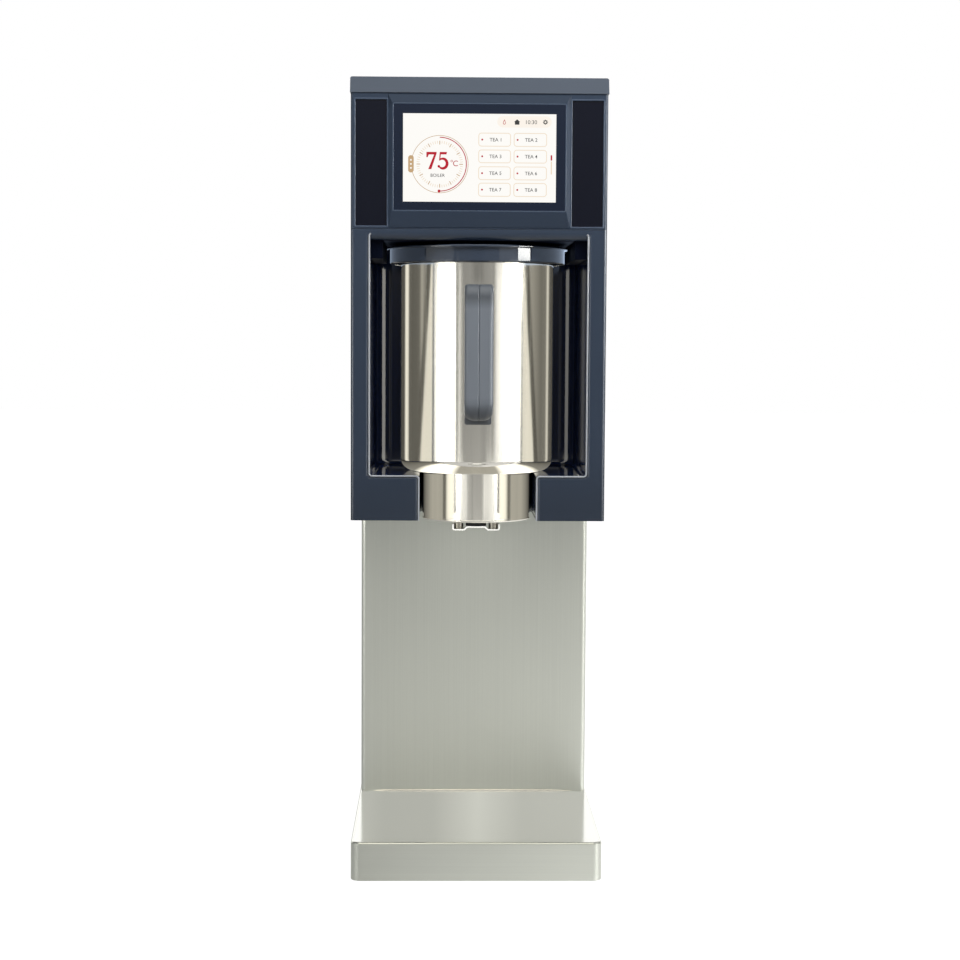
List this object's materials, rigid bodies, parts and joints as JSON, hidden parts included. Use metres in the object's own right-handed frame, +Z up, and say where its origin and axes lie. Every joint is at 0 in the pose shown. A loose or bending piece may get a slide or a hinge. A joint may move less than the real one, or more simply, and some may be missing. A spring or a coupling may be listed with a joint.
{
  "type": "tea brewer",
  "caption": "Free-standing tea brewer: dark head with touch screen and brewing bay, lift-out steel brew pot with bottom drain valve, on a satin steel column and base.",
  "frame": {"origin": "on the floor under the middle of the whole machine, feet at z = 0", "axes": "+Z up, -Y towards the user in front of the screen, +X to the right of the screen as seen from the front"},
  "size_m": [0.2612, 0.454, 0.8179],
  "materials": {
    "satin_steel": "satin brushed",
    "polished_steel": "mirror polished",
    "plated_steel": "zinc plated",
    "navy_paint": "fine satin paint",
    "navy_plastic": "fine satin moulding",
    "grey_cap": "satin paint",
    "gloss_black": "high gloss",
    "lid_gloss": "high gloss",
    "panel_gloss": "smooth gloss",
    "screen_glass": "dark printed glass",
    "display": "lit panel",
    "handle_grey": "satin moulding",
    "dark_plastic": "fine moulding",
    "black_rubber": "matt",
    "silicone": "matt",
    "brass": "turned",
    "insulation": "matt felt",
    "circuit_green": "solder mask",
    "white_plastic": "moulded",
    "motor_black": "satin paint",
    "red_plastic": "gloss"
  },
  "bodies": {
    "machine": {"base_cover": "satin_steel", "base_plate": "plated_steel", "rubber_feet": "black_rubber", "column_cover": "satin_steel", "column_uprights": "plated_steel", "column_rear_panel": "satin_steel", "head_deck": "plated_steel", "head_cover": "navy_paint", "head_rear_panel": "navy_paint", "rear_screws": "plated_steel", "top_cover": "grey_cap", "lower_fascia": "navy_plastic", "display_frame": "navy_plastic", "screen_bezel": "navy_plastic", "touch_glass": "screen_glass", "display_module": "display", "side_panel_left": "panel_gloss", "side_panel_right": "panel_gloss", "bay_liner": "gloss_black", "bay_floor": "gloss_black", "bay_ceiling": "gloss_black", "underside_cover": "navy_plastic", "spray_head": "polished_steel", "control_board": "circuit_green", "power_supply": "plated_steel", "boiler_stand": "plated_steel", "boiler_tank": "polished_steel", "insulation_jacket": "insulation", "boiler_lid": "plated_steel", "heating_element": "plated_steel", "temperature_probe": "brass", "level_probes": "polished_steel", "pump_bracket": "plated_steel", "pump_motor": "motor_black", "pump_housing": "white_plastic", "pump_hose": "silicone", "brew_hose": "silicone", "inlet_fitting": "brass", "inlet_valve_body": "white_plastic", "valve_coil": "dark_plastic", "supply_hose": "silicone", "cord_gland": "dark_plastic", "switch_housing": "dark_plastic"},
    "brew_pot": {"vessel": "polished_steel", "drain_skirt": "polished_steel", "lid_ring": "lid_gloss", "lid_seal": "black_rubber", "strainer_plate": "polished_steel", "handle_bracket": "dark_plastic", "handle_grip": "handle_grey", "outlet_nozzle": "polished_steel", "valve_guide": "plated_steel", "return_springs": "polished_steel"},
    "drain_valve": {"valve_stem": "polished_steel", "valve_plug": "silicone", "bridge_posts": "plated_steel", "lift_bridge": "polished_steel"},
    "pump_impeller": {"pump_rotor": "white_plastic"},
    "inlet_plunger": {"valve_plunger": "plated_steel"},
    "power_switch": {"power_rocker": "red_plastic"}
  },
  "joints": [
    {"name": "pot_slide", "type": "slide", "parent": "machine", "child": "brew_pot", "axis": [0, -1, 0], "range_m": [0, 0.2]},
    {"name": "drain_lift", "type": "slide", "parent": "brew_pot", "child": "drain_valve", "axis": [0, 0, 1], "range_m": [0, 0.005], "stiffness_N_per_m": 400, "springref_m": -0.008, "deforming": ["return_springs"]},
    {"name": "pump_spin", "type": "hinge", "parent": "machine", "child": "pump_impeller", "pos_m": [-0.025, 0.10375, 0.1], "axis": [0, 0, 1], "continuous": true},
    {"name": "plunger_lift", "type": "slide", "parent": "machine", "child": "inlet_plunger", "axis": [-1, 0, 0], "range_m": [0, 0.003], "stiffness_N_per_m": 300, "springref_m": -0.004},
    {"name": "rocker_tip", "type": "hinge", "parent": "machine", "child": "power_switch", "pos_m": [-0.085, 0.204, 0.17], "axis": [1, 0, 0], "range_deg": [-20, 0]}
  ]
}
